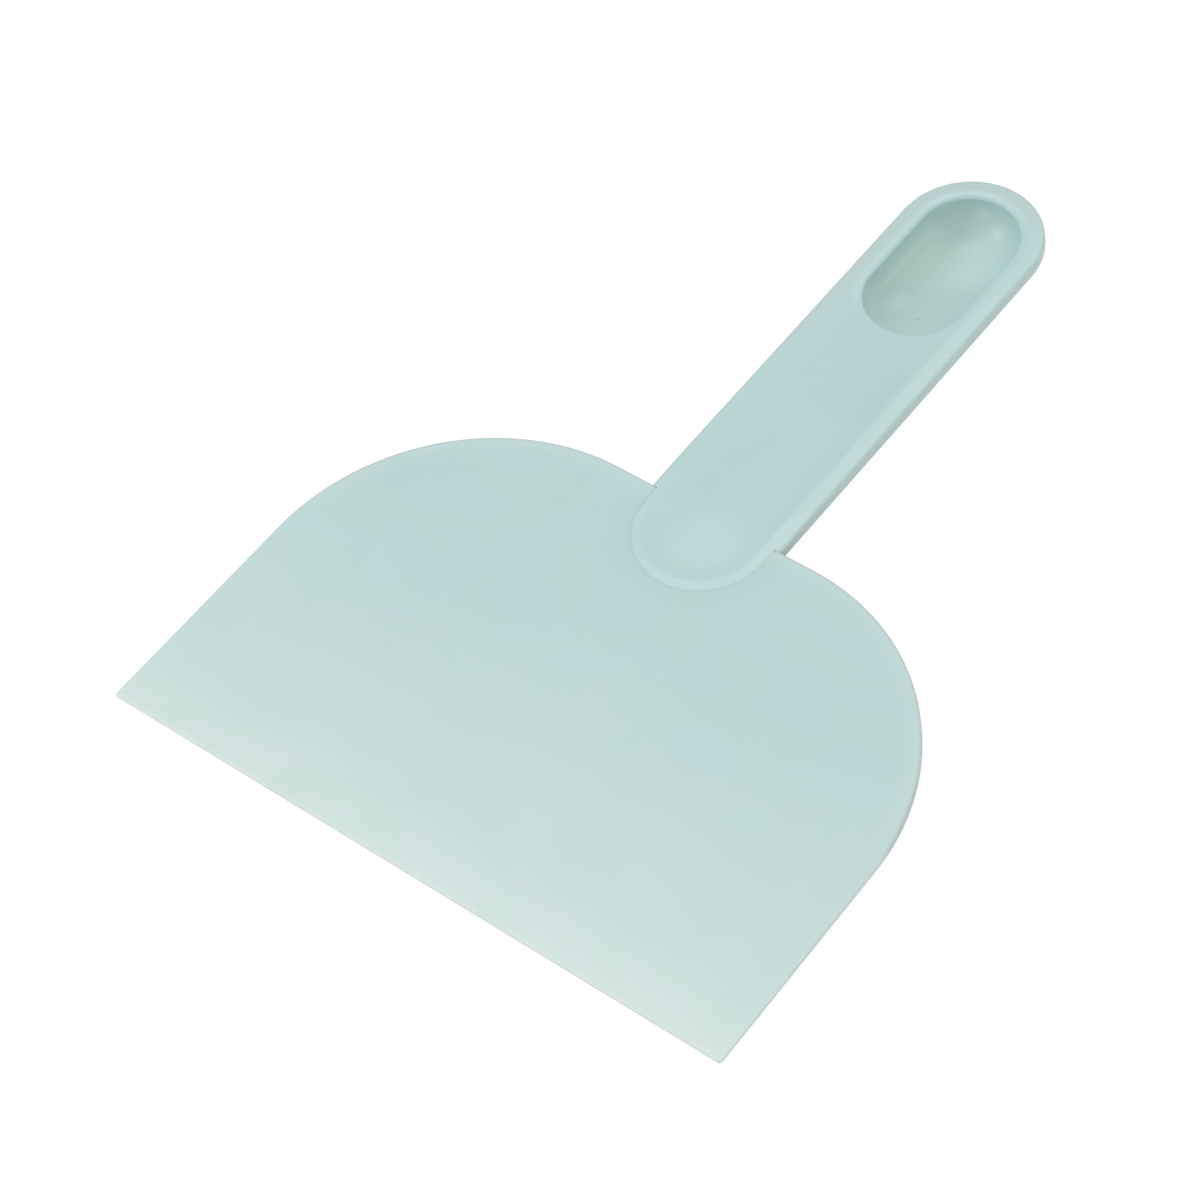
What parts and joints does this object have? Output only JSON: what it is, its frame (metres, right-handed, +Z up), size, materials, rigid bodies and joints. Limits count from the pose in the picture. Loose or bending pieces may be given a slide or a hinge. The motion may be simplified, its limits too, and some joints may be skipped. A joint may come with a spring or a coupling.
{
  "type": "dough scraper",
  "caption": "Thin half-moon dough scraper with a straight tapered edge and a dished pill-shaped handle that ends in a measuring bowl.",
  "frame": {"origin": "on the ground, at the middle of the tool's width and length, as it lies on its scraping edge and the underside of its bowl", "axes": "+Y from the scraping edge to the handle's far end, +Z up, +X along the scraping edge"},
  "size_m": [0.15, 0.201, 0.011],
  "materials": {
    "blade_plastic": "satin moulded plastic, pale mint, slightly lighter towards the thin edge",
    "handle_plastic": "satin moulded plastic, pale mint"
  },
  "bodies": {
    "root": {"blade": "blade_plastic", "handle": "handle_plastic"}
  },
  "joints": []
}
